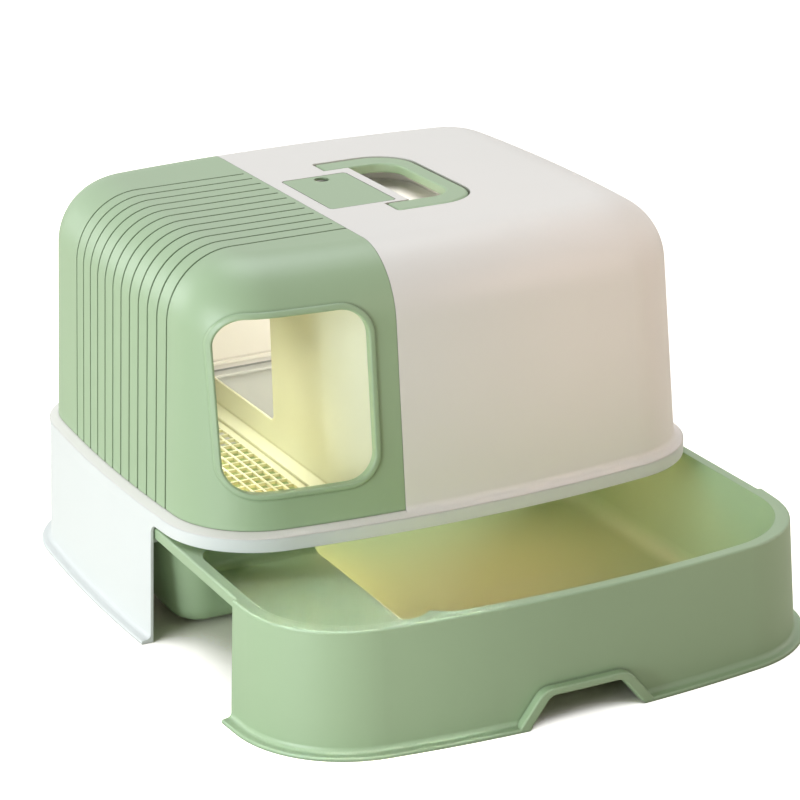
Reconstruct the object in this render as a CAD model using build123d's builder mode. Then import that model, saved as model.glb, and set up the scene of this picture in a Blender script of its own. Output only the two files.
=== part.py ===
"""Enclosed litter box with a front drawer.

Millimetres, +Z up, +X to the right and -Y towards the viewer.  The drawer is modelled pulled out,
and the origin lies on the floor in the middle of the whole footprint in that pose.
"""
from build123d import *
import os
from math import cos, radians, sin, tan

os.makedirs("parts", exist_ok=True)

# ------------------------------------------------------------------ driving sizes: body
body_length = 570.0  # across the band, side to side
body_width = 522.0  # across the band, front to back
long_bow = 28.0  # bulge of the front and back edges beyond the virtual corners
short_bow = 13.0  # bulge of the two side edges beyond the virtual corners
corner_radius = 102.0  # plan radius of the four corners
skirt_draft = 3.1  # degrees the skirt spreads towards the floor
wall = 3.0  # wall of the base and the drawer front
band_bottom = 123.0  # underside of the white band above the drawer
band_top = 136.0  # top edge of the base, under the hood's flange
foot_lip = 9.3  # how far the foot flange stands out from the skirt
foot_edge = 3.4  # height of the foot flange at its outer edge
foot_height = 4.8  # height of the foot flange at the skirt
foot_round = 1.8  # rounded outer edge of the foot flange
foot_root = 5.0  # soft root between the foot flange and the skirt
skirt_cut = 121.0  # the skirt ends this far in front of the body's middle
opening_radius = 10.0  # upper corner of the drawer opening
shelf_width = 17.0  # inner shelf that carries the entry deck
seat_gap = 0.3  # gap between pieces that lift or slide apart

# ------------------------------------------------------------------ driving sizes: hood and cap
hood_top = 389.0  # height of the flat crown
flange_rise = 4.4  # slope of the hood's flange up to its walls
ledge_width = 9.6  # width of that sloping flange
hood_draft = 3.4  # degrees the hood's walls lean in
hood_edge_radius = 68.0  # rolled edge between walls and crown
hood_wall = 2.6
root_radius = 7.0  # soft root between the flange and the white walls
locating_lip = 8.0  # depth of the lip that drops inside the band
lip_wall = 2.4
cap_wall = 2.6
cap_gap = 0.3  # gap between the cap and the hood under it
split_x = -72.5  # joint line between the cap and the white half of the hood
entrance_x = -171.0  # middle of the entrance
entrance_z = 260.0
entrance_width = 140.0
entrance_height = 166.0
entrance_radius = 27.0
bead_width = 6.0  # rolled rim round the entrance
bead_height = 2.6
bead_edge = 1.8  # rounded edges of that rim
groove_count = 12
groove_pitch = 21.2
groove_first_y = 99.0  # rearmost groove, from the body's middle
groove_width = 2.6
groove_depth = 1.6
groove_end = 5.0  # land between a groove's end and the joint line

# ------------------------------------------------------------------ driving sizes: top fittings
fitting_y = -4.0  # middle of the handle, from the body's middle
lid_y = -4.0  # middle of the lid, from the handle's middle
lid_length = 118.0
lid_width = 70.0
lid_x = -22.0
lid_thick = 2.6
lid_radius = 4.0
lid_gap = 0.8
lid_drop = 0.1  # the lid and the basket's rim lie this far below their surroundings
finger_hole = 15.5
finger_x = 3.5  # finger hole, from the lid's middle
finger_inset = 13.0  # finger hole, from the lid's rear edge
well_step = 3.2  # step that carries the basket's rim
well_depth = 38.0
basket_wall = 1.8
basket_rim = 2.0
basket_clear = 2.0  # basket to the floor of its well
vent_count = 7
vent_width = 5.0
vent_pitch = 13.0
vent_margin = 6.0  # solid edge of a slotted floor
carbon_gap = 1.5
carbon_height = 22.0
carbon_edge = 2.0
handle_span = 200.0  # across both arms
handle_x0 = -2.0  # end of the arms
handle_x1 = 93.0  # outer side of the grip
handle_arm = 29.0  # width of an arm
handle_grip = 19.0  # width of the grip
handle_thick = 10.0
handle_outer_radius = 46.0
handle_end_radius = 3.0
handle_edge = 2.0  # rounded edges along the top of the handle
handle_inner_radius = 26.0
handle_gap = 1.2
pocket_depth = 24.0
bridge_x = 24.0  # right edge of the strip between the lid and the finger well
pin_radius = 3.0
pin_gap = 0.06
pin_depth = 6.0  # length of a pin on each side of the pocket's wall
boss_radius = 6.0

# ------------------------------------------------------------------ driving sizes: inside
deck_top = 142.0
deck_thick = 2.6
deck_clear = 1.2  # deck to the inside of the hood
partition_x = -109.0
partition_wall = 2.4
partition_bend_y = -150.0
partition_bend_radius = 75.0
partition_bend_angle = 60.0
deck_land = 2.0  # deck beyond the partition
doorway_y0 = -29.0
doorway_y1 = 131.0
doorway_z0 = 167.0
doorway_z1 = 330.0
doorway_radius = 8.0
grate_right = -127.0  # right edge of the grate
grate_margin = 24.0  # frame of the deck round the grate
grate_radius = 12.0
grate_thick = 3.0
grate_drop = 3.0  # the grate lies this far below the deck
grate_seat = 5.0
grate_pitch_x = 11.0
grate_pitch_y = 16.0
grate_bar = 2.4
grate_border = 7.0
grate_columns = 12
grate_rows = 28

# ------------------------------------------------------------------ driving sizes: drawer
drawer_out = 193.0  # how far the drawer stands open in this pose
drawer_top = 118.3
drawer_cut = 125.0  # the drawer's front ends this far in front of the drawer's middle
drawer_gap = 2.0  # drawer to the inside of the skirt at the back
drawer_side = 278.0  # sides of the drawer, from its middle
drawer_wall = 2.6
drawer_lip = 11.0  # downturned lip along the sides and the back
rim_edge = 2.2  # rounded outer edge of the rim
rim_front = 11.0  # flat rim at the front and the back of the pans
pan_side = 267.0  # sides of the pans, from the drawer's middle
pan_corner_radius = 96.0
pan_left = -148.0
pan_radius = 45.0
pan_clear = 4.0  # underside of the pan to the floor
pan_taper = 8.0
pan_floor_radius = 20.0
pan_front_y = 63.0  # front wall of the rear left part of the pan
tray_overlap = 18.0  # the tray's opening runs this far over the edge of the deep pan
tray_back_y = 1.0
tray_depth = 23.0
tray_radius = 28.0
tray_floor_radius = 9.0
rail_height = 9.0
rail_gap = 0.9  # rails to the sides of the pan
rail_setback = 12.0  # rails to the edge of the opening
notch_bottom = 120.0
notch_top = 74.0
notch_height = 29.0
notch_radius = 12.0
notch_rim = 7.0  # width of the lip round the notch
notch_tail = 2.6  # height at which that lip runs out into the foot flange
notch_flare = 14.0  # radius where the notch runs out to the floor
notch_edge = 1.8  # rounded edges of that lip
front_rib_x = (-205.0, -120.0, 120.0, 205.0)
front_rib = 2.4
rib_low = 30.0

# ------------------------------------------------------------------ worked out from these
half_length = body_length / 2
half_width = body_width / 2
body_y = drawer_out / 2
drawer_y = body_y - drawer_out
seam = band_top + flange_rise
rail_top = drawer_top - drawer_lip - seat_gap
rail_inner = pan_side + drawer_wall + rail_gap
tray_right = pan_left + tray_overlap
shelf_top = band_bottom + wall
long_arc = ((half_length - short_bow) ** 2 + long_bow ** 2) / (2 * long_bow)
short_arc = ((half_width - long_bow) ** 2 + short_bow ** 2) / (2 * short_bow)
big = 900.0


def skirt_grow(z):
    """How far the drafted skirt stands outside the band's outline at height z."""
    return (band_bottom - z) * tan(radians(skirt_draft))


def footprint(grow=0.0):
    """Plan of the box: four large arcs with rounded corners, all moved outwards by grow."""
    with BuildSketch() as plan:
        with Locations((0, half_width - long_arc)):
            Circle(long_arc + grow)
        with Locations((0, long_arc - half_width)):
            Circle(long_arc + grow, mode=Mode.INTERSECT)
        with Locations((half_length - short_arc, 0)):
            Circle(short_arc + grow, mode=Mode.INTERSECT)
        with Locations((short_arc - half_length, 0)):
            Circle(short_arc + grow, mode=Mode.INTERSECT)
        fillet(plan.vertices().sort_by_distance((0, 0))[-4:], corner_radius + grow)
    return plan.sketch


def level(z, y=body_y):
    """Horizontal sketch plane at height z whose origin is the middle of the body or the drawer."""
    return Plane((0, y, z))


def block(x0, x1, y0, y1, z0, z1, y=body_y):
    """Plain block between two corners, with y measured from the middle of the body or drawer."""
    with BuildPart(Plane(((x0 + x1) / 2, y + (y0 + y1) / 2, (z0 + z1) / 2))) as made:
        Box(x1 - x0, y1 - y0, z1 - z0)
    return made.part


def drafted(z0, z1, grow0, grow1, y=body_y):
    """Closed body with the footprint's plan that grows from grow1 at its top to grow0 below."""
    with BuildPart() as made:
        with BuildSketch(level(z0, y)):
            add(footprint(grow0))
        with BuildSketch(level(z1, y)):
            add(footprint(grow1))
        loft(ruled=True)
    return made.part


def level_loops(part):
    """Edges of a body that run round it at one height, grouped from the lowest up."""
    return part.edges().filter_by(lambda e: e.bounding_box().size.Z < 0.1).group_by(Axis.Z)


def skirt_form(top, y=body_y):
    """Outer form of the skirt up to a height, with the soft flange at its foot."""
    foot_grow = skirt_grow(0) + foot_lip
    with BuildPart() as made:
        add(drafted(0, top, skirt_grow(0), skirt_grow(top), y))
        add(drafted(0, foot_edge, foot_grow, foot_grow, y))
        add(drafted(foot_edge, foot_height, foot_grow, skirt_grow(foot_height), y))
        fillet(level_loops(made)[2], foot_root)
        fillet(level_loops(made)[1], foot_round)
    return made.part


def hood_form(inset):
    """Outer form of the hood shrunk by inset: leaning walls, flat crown, large rolled edge."""
    crown = hood_top - inset
    lean = (crown - seam) * tan(radians(hood_draft))
    with BuildPart() as made:
        with BuildSketch(level(seam)):
            add(footprint(-ledge_width - inset))
        with BuildSketch(level(crown)):
            add(footprint(-ledge_width - inset - lean))
        loft(ruled=True)
        fillet(made.faces().sort_by(Axis.Z)[-1].edges(), hood_edge_radius - inset)
    return made.part


def save(part, name):
    """Label a finished piece and write it to its own file."""
    part.label = name
    export_step(part, f"parts/{name}.step")


# ------------------------------------------------------------------ base frame
with BuildPart() as foot_cutter:
    with BuildSketch(Plane.YZ.offset(-big / 2)):
        with BuildLine():
            Polyline(
                (body_y - skirt_cut, -1), (body_y - skirt_cut, band_bottom),
                (body_y - big, band_bottom), (body_y - big, -1), close=True,
            )
        make_face()
    extrude(amount=big)
    top_edge = foot_cutter.edges().filter_by(Axis.X).filter_by_position(
        Axis.Z, band_bottom - 1, band_bottom + 1).sort_by(Axis.Y)[-1]
    fillet(top_edge, opening_radius)

with BuildPart() as base_frame:
    add(skirt_form(band_bottom))
    add(drafted(band_bottom, band_top, 0, 0))
    add(drafted(0, band_bottom, skirt_grow(0) - wall, -wall), mode=Mode.SUBTRACT)
    add(drafted(band_bottom, band_top, -wall, -wall), mode=Mode.SUBTRACT)
    with BuildSketch(level(band_bottom)):
        add(footprint(-wall))
        add(footprint(-wall - shelf_width), mode=Mode.SUBTRACT)
    extrude(amount=wall)
    with BuildSketch(level(rail_top - rail_height)):
        add(footprint(skirt_grow(rail_top) - wall / 2))
        Rectangle(2 * rail_inner, big, mode=Mode.SUBTRACT)
        Rectangle(big, 2 * (skirt_cut - rail_setback), mode=Mode.INTERSECT)
    extrude(amount=rail_height)
    add(foot_cutter.part, mode=Mode.SUBTRACT)
save(base_frame.part, "base_frame")


# ------------------------------------------------------------------ hood and cap forms
form_outer = hood_form(0)
form_recess = hood_form(cap_wall + cap_gap)
form_under = hood_form(cap_wall + cap_gap + hood_wall)
form_white = hood_form(hood_wall)
cap_side = block(-big, split_x, -big, big, 0, big)
white_side = block(split_x, big, -big, big, 0, big)
white_inside = block(split_x + hood_wall, big, -big, big, 0, big)
under_inset = ledge_width + cap_wall + cap_gap + hood_wall

with BuildPart() as white_half:
    add(form_outer)
    add(drafted(band_top, seam, 0, -ledge_width))
    root = white_half.edges().filter_by_position(Axis.Z, seam - 0.01, seam + 0.01)
    fillet(root, root_radius)
    add(white_side, mode=Mode.INTERSECT)

# ------------------------------------------------------------------ plans of the top fittings
handle_y = body_y + fitting_y
pivot_x = handle_x0 + handle_thick / 2
pivot_z = hood_top - handle_thick / 2
arm_gap = handle_span - 2 * handle_arm
crown_plane = Plane((0, handle_y, hood_top))


def handle_outline(grow=0.0):
    """Plan of the handle's outer edge: square at the arms' ends, round at the grip."""
    with BuildSketch() as plan:
        with Locations(((handle_x0 + handle_x1) / 2, 0)):
            Rectangle(handle_x1 - handle_x0 + 2 * grow, handle_span + 2 * grow)
        fillet(plan.vertices().group_by(Axis.X)[-1], handle_outer_radius + grow)
        fillet(plan.vertices().group_by(Axis.X)[0], handle_end_radius + grow)
    return plan.sketch


def handle_inner():
    """Plan of the hand opening inside the handle, running out between the arms' ends."""
    left = handle_x0 - handle_arm
    right = handle_x1 - handle_grip
    with BuildSketch() as plan:
        with Locations(((left + right) / 2, 0)):
            Rectangle(right - left, arm_gap)
        fillet(plan.vertices().group_by(Axis.X)[-1], handle_inner_radius)
    return plan.sketch


def pocket_plan(grow=0.0):
    """Plan of the handle's pocket: the handle's outline less the bridge between its arms."""
    with BuildSketch() as plan:
        add(handle_outline(handle_gap + grow))
        width = arm_gap - 2 * handle_gap - 2 * grow
        with Locations(((bridge_x - grow - big) / 2, 0)):
            Rectangle(big + bridge_x - grow, width, mode=Mode.SUBTRACT)
    return plan.sketch


def lid_plan(grow=0.0):
    """Plan of the deodoriser's lid, offset outwards by grow."""
    with BuildSketch() as plan:
        with Locations((lid_x, lid_y)):
            RectangleRounded(lid_width + 2 * grow, lid_length + 2 * grow, lid_radius + max(grow, -3))
    return plan.sketch


lid_seat = hood_top - lid_thick - lid_drop
rim_seat = lid_seat - basket_rim - lid_drop
well_floor = rim_seat - well_depth
basket_low = well_floor + basket_clear

entrance_plane = Plane((entrance_x, body_y, entrance_z), x_dir=(1, 0, 0), z_dir=(0, -1, 0))


def entrance_prism(grow=0.0):
    """Rounded opening of the entrance, run forwards from the middle of the body."""
    with BuildPart() as made:
        with BuildSketch(entrance_plane):
            RectangleRounded(entrance_width + 2 * grow, entrance_height + 2 * grow, entrance_radius + grow)
        extrude(amount=big)
    return made.part


def hinge_rods(radius, length):
    """Two rods on the handle's pivot axis, centred on the faces beside the arms."""
    with BuildPart() as made:
        with BuildSketch(Plane((pivot_x, handle_y, pivot_z), x_dir=(1, 0, 0), z_dir=(0, -1, 0))):
            Circle(radius)
        extrude(amount=handle_span / 2 + handle_gap + length / 2, both=True)
        with BuildSketch(Plane((pivot_x, handle_y, pivot_z), x_dir=(1, 0, 0), z_dir=(0, -1, 0))):
            Circle(radius)
        extrude(amount=handle_span / 2 + handle_gap - length / 2, both=True, mode=Mode.SUBTRACT)
    return made.part


def vent_slots(length):
    """Row of slots across the deodoriser's floor."""
    with BuildSketch() as plan:
        with Locations((lid_x, lid_y)):
            with GridLocations(0, vent_pitch, 1, vent_count):
                SlotOverall(length, vent_width)
    return plan.sketch


# ------------------------------------------------------------------ hood
with BuildPart() as hood:
    add(form_recess)
    add(drafted(band_top, seam, 0, -ledge_width))
    add(cap_side, mode=Mode.INTERSECT)
    add(white_half.part)
    lip_out = -wall - seat_gap
    add(drafted(band_top - locating_lip, band_top + 1, lip_out, lip_out))
    add(form_under, mode=Mode.SUBTRACT)
    add(form_white & white_inside, mode=Mode.SUBTRACT)
    add(drafted(0, band_top, lip_out - lip_wall, lip_out - lip_wall), mode=Mode.SUBTRACT)
    add(drafted(band_top, seam, -under_inset, -under_inset), mode=Mode.SUBTRACT)
    # the handle's pocket and the deodoriser's well hang under the crown
    with BuildSketch(level(hood_top - hood_wall / 2, handle_y)):
        add(pocket_plan(hood_wall))
    extrude(amount=-pocket_depth)
    with BuildSketch(level(hood_top - hood_wall / 2, handle_y)):
        add(lid_plan(lid_gap + hood_wall))
    extrude(amount=rim_seat - hood_wall / 2 - hood_top)
    with BuildSketch(level(well_floor - hood_wall, handle_y)):
        add(lid_plan(lid_gap - 2 * well_step + hood_wall))
    extrude(amount=well_depth)
    add(hinge_rods(boss_radius, 2 * (pin_depth + hood_wall)) & form_outer)
    with BuildSketch(crown_plane):
        add(pocket_plan())
    extrude(amount=-pocket_depth, mode=Mode.SUBTRACT)
    with BuildSketch(crown_plane):
        add(lid_plan(lid_gap))
    extrude(amount=lid_seat - hood_top, mode=Mode.SUBTRACT)
    with BuildSketch(crown_plane):
        add(lid_plan(lid_gap - well_step))
    extrude(amount=rim_seat - hood_top, mode=Mode.SUBTRACT)
    with BuildSketch(crown_plane):
        add(lid_plan(lid_gap - 2 * well_step))
    extrude(amount=well_floor - hood_top, mode=Mode.SUBTRACT)
    # slots in the well's floor let the chamber's air through
    with BuildSketch(crown_plane):
        add(vent_slots(lid_width + 2 * (lid_gap - 2 * well_step - vent_margin)))
    extrude(amount=-big, mode=Mode.SUBTRACT)
    add(hinge_rods(pin_radius, 2 * pin_depth), mode=Mode.SUBTRACT)
    add(entrance_prism(bead_width + cap_gap), mode=Mode.SUBTRACT)
save(hood.part, "hood")

# ------------------------------------------------------------------ entrance cap
groove_skin = hood_form(-1) - hood_form(groove_depth)
with BuildPart() as groove_cutter:
    for i in range(groove_count):
        y = groove_first_y - i * groove_pitch
        end = 0 if i == groove_count - 1 else groove_end
        add(block(-big, split_x - end, y - groove_width / 2, y + groove_width / 2, 0, big))
    add(groove_skin, mode=Mode.INTERSECT)

form_bead = hood_form(-bead_height)
with BuildPart() as entrance_bead:
    add(entrance_prism(bead_width) - entrance_prism())
    add(form_bead - form_under, mode=Mode.INTERSECT)
    bead_front = [f for f in entrance_bead.faces()
                  if min(g.distance_to(f.center()) for g in form_bead.faces()) < bead_edge / 10]
    bead_rim = [e for f in bead_front for e in f.edges()]
    fillet([e for e in bead_rim if sum(e.is_same(other) for other in bead_rim) == 1], bead_edge)

with BuildPart() as entrance_cap:
    add(form_outer)
    add(hood_form(cap_wall), mode=Mode.SUBTRACT)
    add(block(-big, split_x - cap_gap, -big, big, seam + cap_gap, big), mode=Mode.INTERSECT)
    add(entrance_prism(bead_width / 2), mode=Mode.SUBTRACT)
    add(entrance_bead.part)
    add(groove_cutter.part, mode=Mode.SUBTRACT)
save(entrance_cap.part, "entrance_cap")

# ------------------------------------------------------------------ carry handle and its pins
with BuildPart() as carry_handle:
    with BuildSketch(crown_plane):
        add(handle_outline())
        add(handle_inner(), mode=Mode.SUBTRACT)
    extrude(amount=-handle_thick)
    tips = carry_handle.edges().filter_by(Axis.Y).group_by(Axis.X)[0]
    fillet(tips, handle_thick / 2 - 0.01)
    fillet(carry_handle.faces().sort_by(Axis.Z)[-1].edges(), handle_edge)
    add(hinge_rods(pin_radius + pin_gap, 2 * pin_depth + 1), mode=Mode.SUBTRACT)
save(carry_handle.part, "carry_handle")

with BuildPart() as handle_pins:
    add(hinge_rods(pin_radius, 2 * pin_depth))
save(handle_pins.part, "handle_pins")

# ------------------------------------------------------------------ deodoriser cartridge
with BuildPart() as deodoriser_lid:
    with BuildSketch(level(lid_seat, handle_y)):
        add(lid_plan())
        with Locations((lid_x + finger_x, lid_y + lid_length / 2 - finger_inset)):
            Circle(finger_hole / 2, mode=Mode.SUBTRACT)
    extrude(amount=lid_thick)
save(deodoriser_lid.part, "deodoriser_lid")

basket_side = lid_gap - 2 * well_step - seat_gap
with BuildPart() as deodoriser_basket:
    with BuildSketch(level(rim_seat, handle_y)):
        add(lid_plan(lid_gap - well_step - seat_gap))
    extrude(amount=basket_rim)
    with BuildSketch(level(basket_low, handle_y)):
        add(lid_plan(basket_side))
    extrude(amount=rim_seat - basket_low)
    with BuildSketch(level(basket_low + basket_wall, handle_y)):
        add(lid_plan(basket_side - basket_wall))
    extrude(amount=big, mode=Mode.SUBTRACT)
    with BuildSketch(level(basket_low, handle_y)):
        add(vent_slots(lid_width + 2 * (basket_side - basket_wall - vent_margin)))
    extrude(amount=basket_wall, mode=Mode.SUBTRACT)
save(deodoriser_basket.part, "deodoriser_basket")

with BuildPart() as carbon_block:
    with BuildSketch(level(basket_low + basket_wall, handle_y)):
        add(lid_plan(basket_side - basket_wall - carbon_gap))
    extrude(amount=carbon_height)
    fillet(carbon_block.faces().sort_by(Axis.Z)[-1].edges(), carbon_edge)
save(carbon_block.part, "carbon_block")

# ------------------------------------------------------------------ partition, deck and grate
def left_of_partition(grow=0.0):
    """Plan of all that lies left of the partition's line, moved to the right by grow."""
    turn = radians(partition_bend_angle)
    radius = partition_bend_radius - grow
    middle_x = partition_x + partition_bend_radius

    def on_bend(angle, ahead=0.0):
        x = middle_x - radius * cos(angle) + ahead * sin(angle)
        return (x, partition_bend_y - radius * sin(angle) - ahead * cos(angle))

    with BuildSketch() as plan:
        with BuildLine():
            ThreePointArc(on_bend(0), on_bend(turn / 2), on_bend(turn))
            Polyline(on_bend(turn), on_bend(turn, half_width), (-big, -big), (-big, big),
                     (partition_x + grow, big), on_bend(0))
        make_face()
    return plan.sketch


room = hood_form(cap_wall + cap_gap + hood_wall + deck_clear)

with BuildPart() as partition:
    with BuildSketch(level(deck_top)):
        add(left_of_partition(partition_wall / 2))
        add(left_of_partition(-partition_wall / 2), mode=Mode.SUBTRACT)
    extrude(amount=hood_top - deck_top)
    add(room, mode=Mode.INTERSECT)
    with BuildSketch(Plane((0, body_y, 0), x_dir=(0, 1, 0), z_dir=(1, 0, 0)).offset(-half_length)):
        with Locations(((doorway_y0 + doorway_y1) / 2, (doorway_z0 + doorway_z1) / 2)):
            RectangleRounded(doorway_y1 - doorway_y0, doorway_z1 - doorway_z0, doorway_radius)
    extrude(amount=half_length, mode=Mode.SUBTRACT)
save(partition.part, "partition")

deck_edge = -under_inset - deck_clear
grate_low = deck_top - grate_drop - grate_thick


def grate_plan(grow=0.0):
    """Plan of the grate: follows the deck's outer edge, with rounded corners at the right."""
    with BuildSketch() as plan:
        add(footprint(deck_edge - grate_margin + grow))
        with Locations(((grate_right + grow - big) / 2, 0)):
            Rectangle(big + grate_right + grow, big, mode=Mode.INTERSECT)
        fillet(plan.vertices().group_by(Axis.X)[-1], grate_radius + grow)
    return plan.sketch


with BuildPart() as entry_deck:
    with BuildSketch(level(shelf_top)):
        add(footprint(deck_edge))
        add(left_of_partition(partition_wall / 2 + deck_land), mode=Mode.INTERSECT)
    extrude(amount=deck_top - shelf_top)
    with BuildSketch(level(shelf_top)):
        add(footprint(deck_edge - deck_thick))
        add(left_of_partition(partition_wall / 2 + deck_land - deck_thick), mode=Mode.INTERSECT)
    extrude(amount=deck_top - shelf_top - deck_thick, mode=Mode.SUBTRACT)
    with BuildSketch(level(grate_low - deck_thick)):
        add(grate_plan(deck_thick))
    extrude(amount=deck_top - grate_low + deck_thick)
    with BuildSketch(level(grate_low)):
        add(grate_plan(seat_gap))
    extrude(amount=big, mode=Mode.SUBTRACT)
    with BuildSketch(level(0)):
        add(grate_plan(-grate_seat))
    extrude(amount=big, mode=Mode.SUBTRACT)
save(entry_deck.part, "entry_deck")

with BuildPart() as entry_grate:
    with BuildSketch(level(grate_low)):
        add(grate_plan())
    extrude(amount=grate_thick)
    with BuildSketch(level(grate_low)):
        with Locations((grate_right - grate_border - grate_columns * grate_pitch_x / 2, 0)):
            with GridLocations(grate_pitch_x, grate_pitch_y, grate_columns, grate_rows):
                Rectangle(grate_pitch_x - grate_bar, grate_pitch_y - grate_bar)
        add(grate_plan(-grate_border), mode=Mode.INTERSECT)
    extrude(amount=grate_thick, mode=Mode.SUBTRACT)
save(entry_grate.part, "entry_grate")

# ------------------------------------------------------------------ drawer front
with BuildPart() as front_half:
    add(block(-big, big, -big, -drawer_cut, -1, drawer_top + 1, drawer_y))


def notch_plan(grow, foot):
    """Outline of the finger notch grown by its lip, with ends that flare out at a height."""
    rise = (notch_bottom - notch_top) / 2 / notch_height
    top = notch_height + grow
    upper = notch_top / 2 + grow
    lower = upper + rise * (top - foot)
    end = lower + notch_flare
    with BuildSketch() as plan:
        with BuildLine():
            Polyline((-end, -notch_flare), (-end, foot), (-lower, foot), (-upper, top), (upper, top),
                     (lower, foot), (end, foot), (end, -notch_flare), close=True)
        make_face()
        fillet(plan.vertices().group_by(Axis.Y)[-1], notch_radius + grow)
        corners = plan.vertices().sort_by_distance((lower, foot))[:1]
        corners += plan.vertices().sort_by_distance((-lower, foot))[:1]
        fillet(corners, notch_flare - grow)
    return plan.sketch


def notch_prism(grow=0.0, foot=-notch_tail):
    """The finger notch's outline run forwards from the drawer's middle."""
    with BuildPart() as made:
        with BuildSketch(Plane((0, drawer_y, 0), x_dir=(1, 0, 0), z_dir=(0, -1, 0))):
            add(notch_plan(grow, foot))
        extrude(amount=big)
    return made.part


lip_height = notch_height + 2 * notch_rim
with BuildPart() as notch_lip:
    add(notch_prism(notch_rim, notch_tail) - notch_prism())
    add(drafted(0, lip_height, skirt_grow(0) + foot_lip, skirt_grow(lip_height) + foot_lip, drawer_y),
        mode=Mode.INTERSECT)
    front_faces = notch_lip.faces().filter_by(lambda f: abs(f.normal_at().Y) > 0.9).sort_by(Axis.Y)
    fillet(front_faces[0].edges().filter_by(lambda e: e.bounding_box().max.Z > foot_edge), notch_edge)

with BuildPart() as front_ribs:
    rib_top = drawer_top - drawer_wall / 2
    for x in front_rib_x:
        add(block(x - front_rib / 2, x + front_rib / 2, -big, 0, rib_low, rib_top, drawer_y))
    add(drafted(rib_low, rib_top, skirt_grow(rib_low) - wall / 2, skirt_grow(rib_top) - wall / 2, drawer_y),
        mode=Mode.INTERSECT)
    add(drafted(rib_low, drawer_top, -rim_front - wall, -rim_front - wall, drawer_y), mode=Mode.SUBTRACT)

with BuildPart() as drawer_front:
    add(skirt_form(drawer_top, drawer_y))
    fillet(drawer_front.faces().sort_by(Axis.Z)[-1].edges(), rim_edge)
    add(notch_lip.part)
    add(drafted(0, drawer_top, skirt_grow(0) - wall, skirt_grow(drawer_top) - wall, drawer_y),
        mode=Mode.SUBTRACT)
    add(notch_prism(), mode=Mode.SUBTRACT)
    add(front_half.part, mode=Mode.INTERSECT)

# ------------------------------------------------------------------ drawer pans
pan_depth = drawer_top - pan_clear - drawer_wall


def rear_plan(grow=0.0):
    """Plan of the drawer's rim behind its front, which slides inside the base's skirt."""
    with BuildSketch() as plan:
        add(footprint(-wall - drawer_gap + grow))
        with Locations((0, -drawer_cut / 2)):
            Rectangle(2 * half_length, drawer_cut)
        with Locations((0, (big - drawer_cut) / 2)):
            Rectangle(2 * (drawer_side + grow), big + drawer_cut, mode=Mode.INTERSECT)
    return plan.sketch


def pan_area(grow=0.0):
    """Plan of everything inside the drawer's rim: straight sides, bowed front and back."""
    with BuildSketch() as plan:
        with Locations((0, half_width - long_arc)):
            Circle(long_arc - rim_front + grow)
        with Locations((0, long_arc - half_width)):
            Circle(long_arc - rim_front + grow, mode=Mode.INTERSECT)
        Rectangle(2 * (pan_side + grow), big, mode=Mode.INTERSECT)
        fillet(plan.vertices(), pan_corner_radius + grow)
    return plan.sketch


def pan_plan(grow=0.0):
    """Opening of the deep pan: the whole plan less the front left quarter, with round corners."""
    with BuildSketch() as plan:
        add(pan_area(grow))
        with Locations(((pan_left - grow - big) / 2, (pan_front_y - grow - big) / 2)):
            Rectangle(big + pan_left - grow, big + pan_front_y - grow, mode=Mode.SUBTRACT)
        inner = plan.vertices().sort_by_distance((pan_left - grow, pan_front_y - grow))[0]
        fillet(inner, pan_radius - grow)
        fillet(plan.vertices().sort_by_distance((pan_left, -half_width))[0], pan_radius + grow)
        fillet(plan.vertices().sort_by_distance((-half_length, pan_front_y))[0], pan_radius + grow)
    return plan.sketch


def tray_plan(grow=0.0):
    """Opening of the shallow tray in the front left quarter."""
    with BuildSketch() as plan:
        add(pan_area(grow))
        with Locations(((tray_right + grow - big) / 2, (tray_back_y + grow - big) / 2)):
            Rectangle(big + tray_right + grow, big + tray_back_y + grow, mode=Mode.INTERSECT)
        fillet(plan.vertices().sort_by_distance((tray_right, -half_width))[0], tray_radius + grow)
        fillet(plan.vertices().sort_by_distance((tray_right, tray_back_y))[0], tray_radius + grow)
        fillet(plan.vertices().sort_by_distance((-half_length, tray_back_y))[0], tray_radius + grow)
    return plan.sketch


def basin(plan, depth, floor_radius, grow=0.0):
    """Tapered solid hanging from the drawer's rim, with a rounded floor edge."""
    with BuildPart() as made:
        with BuildSketch(level(drawer_top, drawer_y)):
            add(plan(grow))
        with BuildSketch(level(drawer_top - depth, drawer_y)):
            add(plan(grow - depth * tan(radians(pan_taper))))
        loft(ruled=True)
        fillet(made.faces().sort_by(Axis.Z)[0].edges(), floor_radius)
    return made.part


with BuildPart() as drawer:
    with BuildSketch(level(drawer_top - drawer_lip, drawer_y)):
        add(rear_plan())
    extrude(amount=drawer_lip)
    outer_edges = drawer.faces().sort_by(Axis.Z)[-1].edges().sort_by(Axis.Y)[1:]
    fillet(outer_edges, rim_edge)
    with BuildSketch(level(drawer_top - drawer_lip, drawer_y)):
        add(rear_plan(-drawer_wall))
    extrude(amount=drawer_lip - drawer_wall, mode=Mode.SUBTRACT)
    with BuildSketch(level(drawer_top - drawer_wall, drawer_y)):
        add(footprint(skirt_grow(drawer_top) - (rim_edge + wall) / 2))
        with Locations((0, (-big - drawer_cut) / 2)):
            Rectangle(big, big - drawer_cut, mode=Mode.INTERSECT)
    extrude(amount=drawer_wall)
    add(drawer_front.part)
    add(front_ribs.part)
    add(basin(pan_plan, pan_depth + drawer_wall, pan_floor_radius + drawer_wall, drawer_wall))
    add(basin(tray_plan, tray_depth + drawer_wall, tray_floor_radius + drawer_wall, drawer_wall))
    add(basin(pan_plan, pan_depth, pan_floor_radius), mode=Mode.SUBTRACT)
    add(basin(tray_plan, tray_depth, tray_floor_radius), mode=Mode.SUBTRACT)
save(drawer.part, "drawer")
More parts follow.
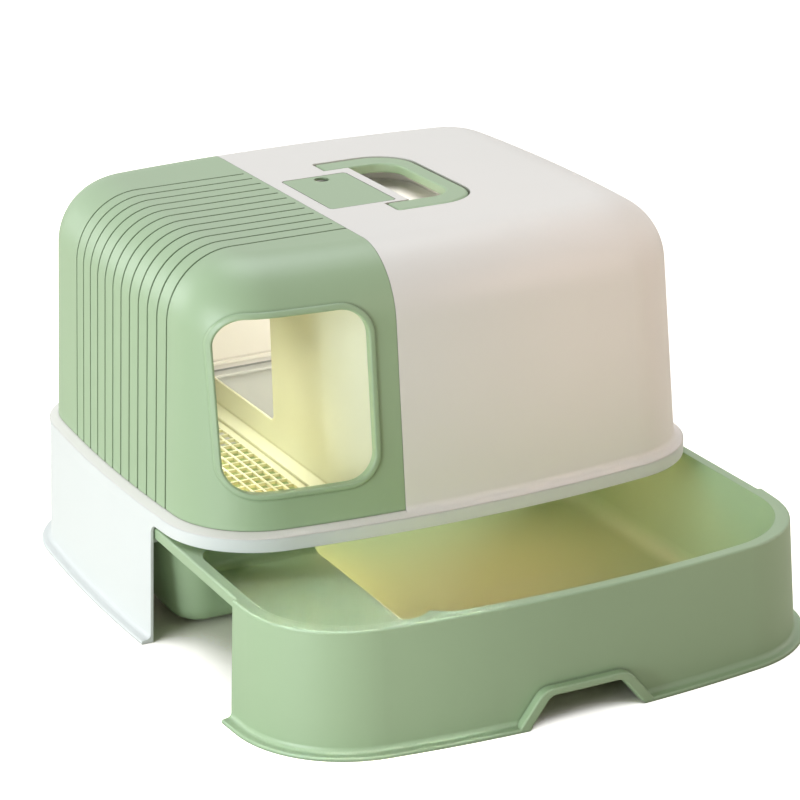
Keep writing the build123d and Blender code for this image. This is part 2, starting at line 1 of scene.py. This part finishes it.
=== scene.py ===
"""Drawer litter box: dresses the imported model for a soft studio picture.

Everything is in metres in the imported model's own frame: +Z up, -Y towards the drawer's side,
the origin on the floor in the middle of the footprint with the drawer pulled out.
"""
import logging
from dataclasses import dataclass, field
from enum import Enum
from math import radians
from typing import Any

import bpy
import numpy as np
from mathutils import Matrix, Vector


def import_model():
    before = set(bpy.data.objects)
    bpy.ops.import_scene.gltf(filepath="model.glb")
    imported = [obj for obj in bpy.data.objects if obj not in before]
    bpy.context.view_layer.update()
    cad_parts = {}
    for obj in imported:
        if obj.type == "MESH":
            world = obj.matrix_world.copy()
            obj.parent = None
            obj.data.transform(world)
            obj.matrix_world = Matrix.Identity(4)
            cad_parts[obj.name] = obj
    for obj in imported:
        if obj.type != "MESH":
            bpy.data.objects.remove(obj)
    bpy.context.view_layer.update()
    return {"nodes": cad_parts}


logging.basicConfig(level=logging.INFO, format="%(message)s")
LOG = logging.getLogger("litter_box")

MM = 0.001
SENSOR = 36.0  # camera sensor's width in millimetres
PICTURE = 800  # picture's width in pixels

# A colour Mix node has unnamed doubles of its sockets: its colours go in at inputs 6 and 7, and
# its mixed colour comes out at output 2.
MIXED = 2


# ------------------------------------------------------------------ colour and node helpers
def linear(hex_colour: str) -> tuple[float, float, float, float]:
    """Turn an sRGB hex colour into the linear values that shaders take.

    Formula: a channel c under 0.04045 is divided by 12.92, any other is ((c + 0.055) / 1.055)
    to the power 2.4.

    Args:
        hex_colour: Six hex digits, with or without a leading hash.

    Returns:
        Linear red, green and blue with an alpha of 1.
    """
    digits = hex_colour.lstrip("#")
    parts = [int(digits[i:i + 2], 16) / 255 for i in (0, 2, 4)]
    red, green, blue = (c / 12.92 if c <= 0.04045 else ((c + 0.055) / 1.055) ** 2.4 for c in parts)
    return (red, green, blue, 1.0)


def empty_material(name: str) -> bpy.types.Material:
    """Make a material whose node tree holds nothing yet.

    Args:
        name: The material's name.

    Returns:
        The material.
    """
    made = bpy.data.materials.new(name)
    made.use_nodes = True
    made.node_tree.nodes.clear()
    return made


def add_node(tree: bpy.types.NodeTree, kind: str, settings: dict[str, Any] | None = None,
             **links: Any) -> bpy.types.Node:
    """Add one node, set its options and fill or link its inputs.

    Args:
        tree: The node tree to add to.
        kind: The node's type name.
        settings: Attributes of the node, such as its operation.
        **links: Input names with spaces as underscores, each with a value or an output socket.
            A name such as in_1 means the input with that number.

    Returns:
        The new node.
    """
    node = tree.nodes.new(kind)
    for name, value in (settings or {}).items():
        setattr(node, name, value)
    for name, value in links.items():
        number = name.startswith("in_")
        socket = node.inputs[int(name[3:])] if number else node.inputs[name.replace("_", " ")]
        if isinstance(value, bpy.types.NodeSocket):
            tree.links.new(value, socket)
        else:
            socket.default_value = value
    return node


# ------------------------------------------------------------------ finishes
class Gloss(Enum):
    """How the mould's surface leaves the plastic, as the roughness that its shader takes."""

    SPARK_ERODED = 0.48
    SATIN = 0.42


@dataclass(frozen=True)
class MouldedPlastic:
    """Injection-moulded polypropylene: an even colour under a fine eroded grain.

    The eye gets a soft, slightly waxy sheen with no sharp reflections, a barely uneven tone
    from the melt's flow, painted shade in grooves and joints, a darker tone that ambient
    occlusion mixes in, and a grain that only shows where light grazes the surface. A real eroded
    grain is a tenth of a millimetre or less, too fine to show, so it is drawn coarser.
    """

    name: str
    colour: str
    deep: str
    gloss: Gloss = Gloss.SPARK_ERODED
    smoothest: float = -0.03  # what the flow takes off the roughness at the most
    roughest: float = 0.05  # and what it adds
    grain_mm: float = 0.9
    grain_height_mm: float = 0.02
    grain_strength: float = 0.25
    flow_mm: float = 160.0
    edge_mm: float = 1.2
    # painted shade: the darker colour that ambient occlusion mixes into grooves and joints, and its
    # reach
    painted_shade: str = "#3C4E34"
    painted_shade_mm: float = 3.0
    ior: float = 1.49  # of polypropylene
    sheen: float = 0.8  # specular level, 0.5 being a plain surface's

    def material(self) -> bpy.types.Material:
        """Build the node tree of this plastic.

        Returns:
            The finished material.
        """
        made = empty_material(self.name)
        tree = made.node_tree
        place = add_node(tree, "ShaderNodeTexCoord").outputs["Object"]
        flow = add_node(tree, "ShaderNodeTexNoise", None, Vector=place,
                        Scale=1 / (self.flow_mm * MM), Detail=3.0, Roughness=0.5)
        tone = add_node(tree, "ShaderNodeMix", {"data_type": "RGBA"}, Factor=flow.outputs["Fac"],
                        in_6=linear(self.deep), in_7=linear(self.colour))
        # painted shade: ambient occlusion mixes the darker colour into grooves, joints and hollows
        open_sky = add_node(tree, "ShaderNodeAmbientOcclusion", {"samples": 6},
                            Distance=self.painted_shade_mm * MM)
        shade = add_node(tree, "ShaderNodeMix", {"data_type": "RGBA"},
                         Factor=open_sky.outputs["AO"], in_6=linear(self.painted_shade),
                         in_7=tone.outputs[MIXED])
        grain = add_node(tree, "ShaderNodeTexNoise", None, Vector=place,
                         Scale=1 / (self.grain_mm * MM), Detail=2.0, Roughness=0.6)
        rounded = add_node(tree, "ShaderNodeBevel", {"samples": 4}, Radius=self.edge_mm * MM)
        bump = add_node(tree, "ShaderNodeBump", None, Strength=self.grain_strength,
                        Distance=self.grain_height_mm * MM, Height=grain.outputs["Fac"],
                        Normal=rounded.outputs["Normal"])
        rough = add_node(tree, "ShaderNodeMapRange", None, Value=flow.outputs["Fac"],
                         To_Min=self.gloss.value + self.smoothest,
                         To_Max=self.gloss.value + self.roughest)
        shader = add_node(tree, "ShaderNodeBsdfPrincipled", None, IOR=self.ior,
                          Specular_IOR_Level=self.sheen, Base_Color=shade.outputs[MIXED],
                          Roughness=rough.outputs["Result"], Normal=bump.outputs["Normal"])
        add_node(tree, "ShaderNodeOutputMaterial", None, Surface=shader.outputs["BSDF"])
        return made


@dataclass(frozen=True)
class CarbonPad:
    """Needled felt loaded with activated carbon: near black, matt, with a loose fibre grain.

    Real fibres are finer than a tenth of a millimetre, so the grain is drawn as their tufts.
    """

    name: str = "activated_carbon_felt"
    colour: str = "#1B1B1D"
    deep: str = "#0E0E10"
    tuft_mm: float = 2.4
    tuft_height_mm: float = 0.3
    tuft_strength: float = 0.6
    roughness: float = 0.95

    def material(self) -> bpy.types.Material:
        """Build the node tree of the felt.

        Returns:
            The finished material.
        """
        made = empty_material(self.name)
        tree = made.node_tree
        place = add_node(tree, "ShaderNodeTexCoord").outputs["Object"]
        tufts = add_node(tree, "ShaderNodeTexNoise", None, Vector=place,
                         Scale=1 / (self.tuft_mm * MM), Detail=6.0, Roughness=0.7, Distortion=1.2)
        tone = add_node(tree, "ShaderNodeMix", {"data_type": "RGBA"}, Factor=tufts.outputs["Fac"],
                        in_6=linear(self.deep), in_7=linear(self.colour))
        bump = add_node(tree, "ShaderNodeBump", None, Strength=self.tuft_strength,
                        Distance=self.tuft_height_mm * MM, Height=tufts.outputs["Fac"])
        shader = add_node(tree, "ShaderNodeBsdfPrincipled", None, Roughness=self.roughness,
                          Base_Color=tone.outputs[MIXED], Normal=bump.outputs["Normal"])
        add_node(tree, "ShaderNodeOutputMaterial", None, Surface=shader.outputs["BSDF"])
        return made


Finish = MouldedPlastic | CarbonPad

# each plastic below mixes a darker painted shade into its grooves and joints through ambient
# occlusion
# sage green of the cap, the handle and the drawer, from a satin mould
SAGE = MouldedPlastic("sage_moulded_polypropylene", "#A5BF99", "#9FB993", gloss=Gloss.SATIN)
# the same plastic, with a dark painted shade from ambient occlusion that fills the lid's finger
# hole
LID_SAGE = MouldedPlastic("sage_lid_polypropylene", "#A5BF99", "#9FB993", gloss=Gloss.SATIN,
                          painted_shade="#1C2418", painted_shade_mm=8.0)
# warm white of the hood, a cooler and slightly greyer white of the base, cream of the entry
WHITE = MouldedPlastic("white_moulded_polypropylene", "#F5F3EF", "#F1EFEA", painted_shade="#A8A49B")
BASE_WHITE = MouldedPlastic("white_base_polypropylene", "#E6EBEA", "#E2E7E6", painted_shade="#A2A5A2")
CREAM = MouldedPlastic("cream_moulded_polypropylene", "#E8E9CE", "#E2E3C4", painted_shade="#B2B07C")
CARBON = CarbonPad()


# ------------------------------------------------------------------ sub-assemblies
@dataclass
class SubAssembly:
    """A named group of the model's nodes with one finish for each."""

    name: str
    finishes: dict[str, Finish] = field(default_factory=dict)

    def dress(self, nodes: dict[str, bpy.types.Object],
              library: dict[str, bpy.types.Material]) -> None:
        """Give every node of this group its own finish.

        Args:
            nodes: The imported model's nodes by name.
            library: Materials made so far, by name, filled as finishes are first used.
        """
        for node, finish in self.finishes.items():
            if finish.name not in library:
                library[finish.name] = finish.material()
            part = nodes[node]
            part.data.materials.clear()
            part.data.materials.append(library[finish.name])
            LOG.info("%s: %s in %s", self.name, node, finish.name)


# ------------------------------------------------------------------ studio
@dataclass
class Camera:
    """The photograph's viewpoint, from a fit of the outlines: bearing, height, roll and lens."""

    bearing: float = -25.92
    height: float = 19.49
    roll: float = -1.33
    place: tuple[float, float, float] = (-1.19544, -2.45573, 1.15788)
    focal_px: float = 2914.6
    far: float = 50.0

    def build(self) -> None:
        """Create the camera and make it the scene's.

        The axes follow from the angles: back points from the object to the lens, right is level
        before the roll, and up is back cross right.
        """
        turn, rise, tilt = (radians(a) for a in (self.bearing, self.height, self.roll))
        back = np.array([np.sin(turn) * np.cos(rise), -np.cos(turn) * np.cos(rise), np.sin(rise)])
        level = np.array([np.cos(turn), np.sin(turn), 0.0])
        above = np.cross(back, level)
        right = level * np.cos(tilt) + above * np.sin(tilt)
        up = -level * np.sin(tilt) + above * np.cos(tilt)
        data = bpy.data.cameras.new("camera")
        data.sensor_width = SENSOR
        data.lens = self.focal_px / PICTURE * SENSOR
        data.clip_end = self.far
        made = bpy.data.objects.new("camera", data)
        bpy.context.scene.collection.objects.link(made)
        pose = Matrix([list(row) for row in np.column_stack([right, up, back])]).to_4x4()
        pose.translation = Vector(self.place)
        made.matrix_world = pose
        bpy.context.scene.camera = made


@dataclass(frozen=True)
class Lamp:
    """A soft box: its place, what it faces, its size in metres, power, colour and spread."""

    name: str
    place: tuple[float, float, float]
    target: tuple[float, float, float]
    size: tuple[float, float]
    power: float
    colour: str = "#FFFFFF"
    spread: float = 180.0

    def build(self) -> None:
        """Create the lamp, facing its target and unseen by the camera."""
        data = bpy.data.lights.new(self.name, "AREA")
        data.shape = "RECTANGLE"
        data.size, data.size_y = self.size
        data.energy = self.power
        data.color = linear(self.colour)[:3]
        data.spread = radians(self.spread)
        made = bpy.data.objects.new(self.name, data)
        made.location = self.place
        aim = Vector(self.target) - Vector(self.place)
        made.rotation_euler = aim.to_track_quat("-Z", "Y").to_euler()
        made.visible_camera = False
        bpy.context.scene.collection.objects.link(made)


# soft boxes of the studio: a broad key and a strip from the left, the rest to fill
SOFT_BOXES = (
    Lamp("key_left", (-3.3, -0.75, 0.95), (0.0, 0.0, 0.2), (1.5, 1.4), 50, "#F2FAFF"),
    Lamp("strip_left", (-2.65, -1.30, 0.50), (-0.1, -0.1, 0.22), (0.45, 0.95), 18, "#F2FAFF"),
    Lamp("back_left", (-2.0, 2.4, 1.0), (-0.1, 0.1, 0.25), (1.4, 1.2), 18, "#F8FCFF"),
    Lamp("top", (0.3, 1.1, 3.3), (0.0, 0.0, 0.2), (2.2, 2.2), 50, "#F2F8FF"),
    Lamp("right_soft", (3.0, -0.4, 1.3), (0.0, 0.0, 0.2), (1.5, 1.5), 11, "#FFF8F2"),
)
# narrow fills for the front of the hood and for the tray
FILLS = (
    Lamp("hood_fill", (1.0, -1.9, 1.1), (0.15, -0.12, 0.26), (0.2, 0.2), 0.095, "#FFDDCA", 16),
    Lamp("tray_fill", (-0.5, -0.75, 3.0), (-0.19, -0.30, 0.1), (0.1, 0.1), 0.085, "#FFFFFF", 7),
)
# small lamps inside the box, which copy how brightly its rooms are lit in the photograph
GLOWS = (
    Lamp("pan_glow", (0.08, 0.02, 0.21), (0.10, -0.12, 0.0), (0.20, 0.10), 0.15, "#FFA450", 130),
    Lamp("pan_wall_glow", (-0.01, -0.08, 0.13), (-0.07, -0.27, 0.02), (0.05, 0.03), 0.12,
         "#FFD8A4", 60),
    Lamp("room_glow", (0.14, 0.10, 0.250), (-0.02, 0.26, 0.20), (0.06, 0.16), 0.65, "#FFF8F0"),
    Lamp("entry_glow", (-0.18, 0.05, 0.335), (-0.18, 0.05, 0.14), (0.06, 0.22), 0.18,
         "#FFFFF2", 90),
    Lamp("grate_glow", (-0.18, 0.03, 0.131), (-0.18, 0.03, 0.0), (0.10, 0.20), 0.55,
         "#FFC488", 120),
    Lamp("well_glow", (0.048, 0.0925, 0.377), (0.048, 0.0925, 0.36), (0.03, 0.09), 0.016,
         "#FFF2E4"),
)


@dataclass
class Studio:
    """White studio: pale floor, bright surroundings for the camera, soft boxes and small lamps.

    The camera sees the floor lifted to white by a painted glow where at least in_open of the sky
    over it is clear within shelter_reach, and not lifted at all where less than sheltered of it
    is, so the real shadow under the box stays, with painted shade added where the glow falls away.
    """

    floor_size: float = 24.0
    floor_colour: str = "#F7F1E6"
    open_lift: float = 0.86
    sheltered: float = 0.20
    in_open: float = 0.38
    shelter_reach: float = 0.30
    sky_power: float = 0.27
    sky_colour: str = "#FFF4E6"
    lamps: tuple[Lamp, ...] = SOFT_BOXES + FILLS + GLOWS

    def floor(self) -> None:
        """Lay the floor, one large square."""
        half = self.floor_size / 2
        corners = np.array([[-half, -half, 0], [half, -half, 0], [half, half, 0], [-half, half, 0]])
        mesh = bpy.data.meshes.new("studio_floor")
        mesh.from_pydata(corners.tolist(), [], [(0, 1, 2, 3)])
        made = bpy.data.objects.new("studio_floor", mesh)
        bpy.context.scene.collection.objects.link(made)
        paint = empty_material("matt_studio_floor")
        tree = paint.node_tree
        matt = add_node(tree, "ShaderNodeBsdfDiffuse", None, Color=linear(self.floor_colour))
        ray = add_node(tree, "ShaderNodeLightPath")
        # painted glow for the camera, falling away into painted shade where the box shelters the
        # floor
        open_sky = add_node(tree, "ShaderNodeAmbientOcclusion", {"samples": 12},
                            Distance=self.shelter_reach)
        rise = add_node(tree, "ShaderNodeMapRange", {"interpolation_type": "SMOOTHSTEP"},
                        Value=open_sky.outputs["AO"], From_Min=self.sheltered,
                        From_Max=self.in_open, To_Max=self.open_lift)
        power = add_node(tree, "ShaderNodeMath", {"operation": "MULTIPLY"},
                         in_0=ray.outputs["Is Camera Ray"], in_1=rise.outputs["Result"])
        lift = add_node(tree, "ShaderNodeEmission", None, Color=(1, 1, 1, 1),
                        Strength=power.outputs[0])
        both = add_node(tree, "ShaderNodeAddShader", None, in_0=matt.outputs[0],
                        in_1=lift.outputs[0])
        add_node(tree, "ShaderNodeOutputMaterial", None, Surface=both.outputs[0])
        mesh.materials.append(paint)

    def sky(self) -> None:
        """Fill the world: white to the camera and in reflections, an even, dim light otherwise."""
        world = bpy.data.worlds.new("studio")
        bpy.context.scene.world = world
        world.use_nodes = True
        tree = world.node_tree
        tree.nodes.clear()
        ray = add_node(tree, "ShaderNodeLightPath")
        seen = add_node(tree, "ShaderNodeMath", {"operation": "MAXIMUM"},
                        in_0=ray.outputs["Is Camera Ray"], in_1=ray.outputs["Is Glossy Ray"])
        clear = add_node(tree, "ShaderNodeMath", {"operation": "MAXIMUM"}, in_0=seen.outputs[0],
                         in_1=ray.outputs["Is Transmission Ray"])
        power = add_node(tree, "ShaderNodeMapRange", None, Value=clear.outputs[0],
                         To_Min=self.sky_power, To_Max=1.0)
        tint = add_node(tree, "ShaderNodeMix", {"data_type": "RGBA"}, Factor=clear.outputs[0],
                        in_6=linear(self.sky_colour), in_7=(1, 1, 1, 1))
        light = add_node(tree, "ShaderNodeBackground", None, Color=tint.outputs[MIXED],
                         Strength=power.outputs["Result"])
        add_node(tree, "ShaderNodeOutputWorld", None, Surface=light.outputs[0])

    def build(self) -> None:
        """Set the view, the floor, the surroundings and every lamp."""
        bpy.context.scene.view_settings.view_transform = "Standard"
        self.floor()
        self.sky()
        for lamp in self.lamps:
            lamp.build()
            LOG.info("studio: lamp %s", lamp.name)


def main() -> None:
    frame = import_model()
    library: dict[str, bpy.types.Material] = {}
    groups = (
        SubAssembly("base", {"base_frame": BASE_WHITE}),
        SubAssembly("entry", {"entry_deck": CREAM, "entry_grate": CREAM, "partition": CREAM}),
        SubAssembly("hood", {"hood": WHITE, "entrance_cap": SAGE, "handle_pins": WHITE}),
        SubAssembly("handle", {"carry_handle": SAGE}),
        SubAssembly("deodoriser", {"deodoriser_lid": LID_SAGE, "deodoriser_basket": WHITE,
                                   "carbon_block": CARBON}),
        SubAssembly("drawer", {"drawer": SAGE}),
    )
    for group in groups:
        group.dress(frame["nodes"], library)
    Studio().build()
    Camera().build()


if __name__ == "__main__":
    main()
